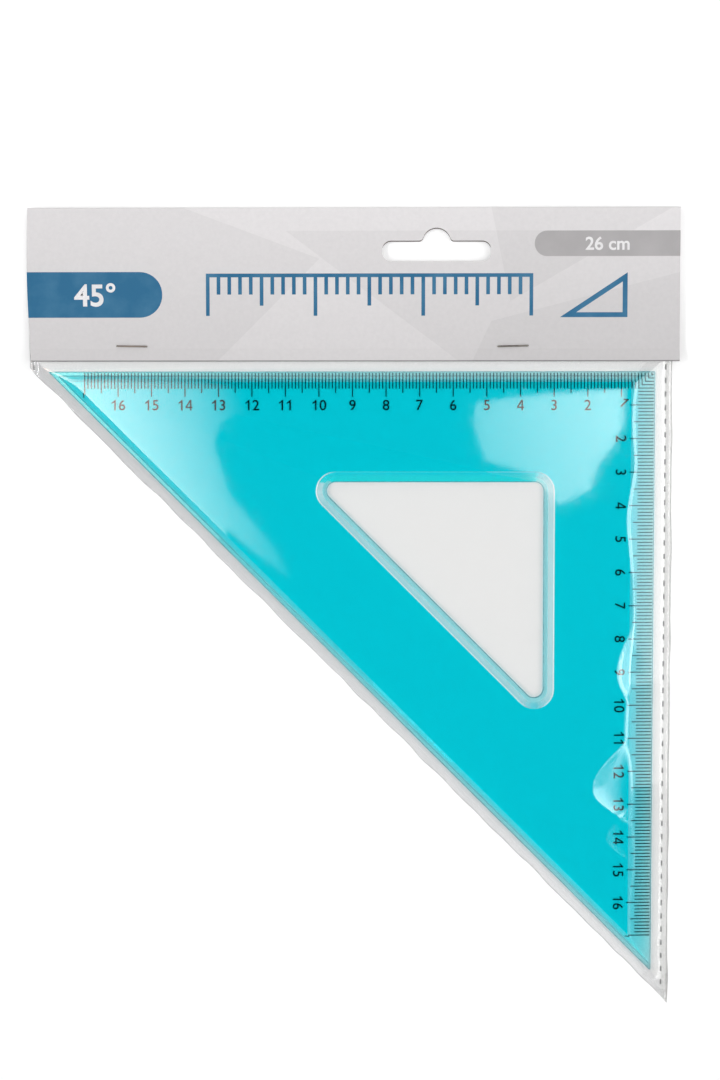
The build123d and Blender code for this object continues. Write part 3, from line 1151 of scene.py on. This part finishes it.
def soft_panel(name, place, size, brightness):
    """Glowing panel that fades from its middle to its rim."""
    mesh = bmesh.new()
    shape = Matrix.Translation(place) @ Matrix.Diagonal((*size, 1.0, 1.0))
    bmesh.ops.create_grid(mesh, x_segments=1, y_segments=1, size=0.5, matrix=shape)
    material = blank_material(name)
    tree = material.node_tree
    scale = (2 / size[0], 2 / size[1], 1.0)
    mapping = {
        "Vector": object_place(tree),
        "Location": [-at * factor for at, factor in zip(place, scale)],
        "Scale": scale,
    }
    where = add(tree, "Mapping", mapping).outputs["Vector"]
    fade = add(tree, "TexGradient", {"Vector": where}, gradient_type="SPHERICAL").outputs["Fac"]
    strength = work_out(tree, "MULTIPLY", fade, brightness)
    finish_shader(tree, add(tree, "Emission", {"Strength": strength}))
    reflected_panel(mesh, name, material)


def sky():
    """White all round, and dark overhead, where flat film would show it."""
    world = bpy.data.worlds.new("studio")
    world.use_nodes = True
    tree = world.node_tree
    tree.nodes.clear()
    height = part_of(tree, add(tree, "TexCoord").outputs["Generated"], "Z")
    glow = add(tree, "Background", {"Strength": between(tree, height, *SKY_LEVELS, *SKY_TURN)})
    add(tree, "OutputWorld", {"Surface": glow.outputs[0]})
    bpy.context.scene.world = world


def studio():
    mesh = bmesh.new()
    bmesh.ops.create_grid(mesh, x_segments=1, y_segments=1, size=FLOOR_HALF)
    bmesh.ops.translate(mesh, vec=(0, 0, -FLOOR_DROP), verts=mesh.verts)
    stage_piece(mesh, "floor", floor_white())
    sky()
    for name, lamp in LAMPS.items():
        softbox(name, *lamp)
    for name, panel in SOFT_PANELS.items():
        soft_panel(name, *panel)
    lamp_panel("left_panel", LEFT_PANEL, LEFT_GLOW)
    lamp_panel("right_panel", RIGHT_PANEL, RIGHT_GLOW)


def finish_solids(black):
    """Gives the solids that stay as they are their looks."""
    weld = welded_film()
    wire = staple_wire()
    finishes = {
        "top_scale_ticks": black,
        "side_scale_ticks": black,
        "sleeve_right_weld": weld,
        "sleeve_left_weld": weld,
        "left_staple": wire,
        "right_staple": wire,
    }
    for name, material in finishes.items():
        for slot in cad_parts[name].material_slots:
            slot.material = material


def main():
    camera()
    black = ink()
    set_square(tinted_plastic())
    scale_figures(black)
    front = clear_film("clear_film_front", FRONT_GLOSS)
    front = film_piece("front_film", "sleeve_front_film", FRONT_CELL, front_height, 1.0, front)
    back = clear_film("clear_film_back", BACK_GLOSS)
    back = film_piece("back_film", "sleeve_back_film", BACK_CELL, back_height, -1.0, back)
    header_card(card_stock())
    card_print()
    finish_solids(black)
    studio()
    bpy.context.scene.cycles.transparent_max_bounces = CLEAR_LAYERS
    bpy.context.scene.view_settings.view_transform = "Standard"


main()
